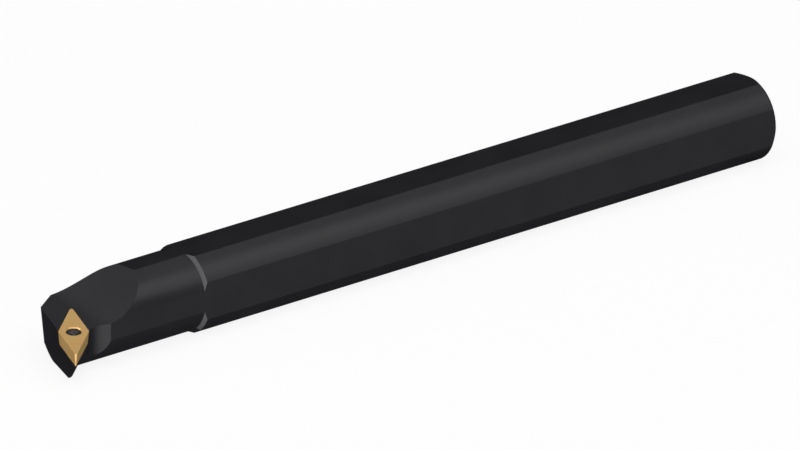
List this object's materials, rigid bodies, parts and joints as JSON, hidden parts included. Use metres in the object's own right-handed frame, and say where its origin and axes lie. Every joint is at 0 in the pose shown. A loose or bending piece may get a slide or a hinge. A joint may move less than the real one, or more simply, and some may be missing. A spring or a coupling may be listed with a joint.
{
  "type": "boring bar",
  "caption": "Round-shank lathe boring bar with clamping flats and a screw-clamped rhombic cutting insert at a sideways-reaching nose.",
  "frame": {"origin": "centre of the rear end face, on the axis of the round shank", "axes": "+X along the bar to the cutting point, +Y to the side that the nose reaches out to, +Z to the side that the insert's face looks to"},
  "size_m": [0.2, 0.0245, 0.018],
  "materials": {
    "blackened_steel": "black oxide, satin",
    "coated_carbide": "gold titanium nitride coating on cemented carbide, satin",
    "screw_steel": "black oxide on hardened steel, satin"
  },
  "bodies": {
    "root": {"bar": "blackened_steel", "insert": "coated_carbide", "insert_screw": "screw_steel"}
  },
  "joints": []
}
